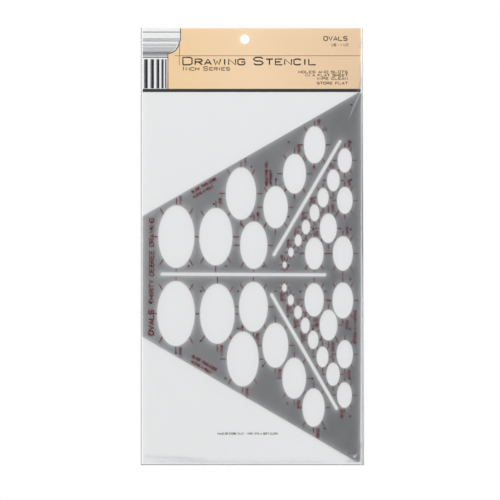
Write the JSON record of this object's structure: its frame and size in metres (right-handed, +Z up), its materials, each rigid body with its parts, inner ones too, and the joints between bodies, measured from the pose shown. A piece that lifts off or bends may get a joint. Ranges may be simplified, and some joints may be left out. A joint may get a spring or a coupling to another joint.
{
  "type": "isometric ellipse drafting template",
  "caption": "Smoke-grey trapezoid stencil of ellipse holes and ruling slots on a tall white card with a printed header and hang hole, in a clear open-topped film sleeve.",
  "frame": {"origin": "centre of the hang hole, on the front face of the insert card", "axes": "+Z up as it hangs, -Y out of the printed face towards the viewer, +X to the viewer's right"},
  "size_m": [0.171, 0.0019, 0.3348],
  "materials": {
    "film": "thin clear glossy film",
    "weld": "heat-sealed film",
    "card": "smooth white board, printed header",
    "smoke_plastic": "translucent smoke-grey sheet, satin gloss",
    "riser": "small dark raised pads"
  },
  "bodies": {
    "sleeve": {"front_film": "film", "back_film": "film", "left_weld": "weld", "right_weld": "weld", "bottom_weld": "weld"},
    "card": {"insert_card": "card"},
    "template": {"template_sheet": "smoke_plastic", "riser_01": "riser", "riser_02": "riser", "riser_03": "riser", "riser_04": "riser", "riser_05": "riser", "riser_06": "riser", "riser_07": "riser", "riser_08": "riser", "riser_09": "riser", "riser_10": "riser", "riser_11": "riser", "riser_12": "riser", "riser_13": "riser", "riser_14": "riser", "riser_15": "riser", "riser_16": "riser", "riser_17": "riser", "riser_18": "riser", "riser_19": "riser", "riser_20": "riser", "riser_21": "riser", "riser_22": "riser", "riser_23": "riser", "riser_24": "riser", "riser_25": "riser", "riser_26": "riser", "riser_27": "riser", "riser_28": "riser", "riser_29": "riser", "riser_30": "riser", "riser_31": "riser", "riser_32": "riser", "riser_33": "riser", "riser_34": "riser", "riser_35": "riser", "riser_36": "riser", "riser_37": "riser", "riser_38": "riser", "riser_39": "riser", "riser_40": "riser", "riser_41": "riser"}
  },
  "joints": [
    {"name": "card_slide", "type": "slide", "parent": "sleeve", "child": "card", "axis": [0, 0, 1], "range_m": [0, 0.3]},
    {"name": "template_slide", "type": "slide", "parent": "sleeve", "child": "template", "axis": [0, 0, 1], "range_m": [0, 0.3]}
  ]
}
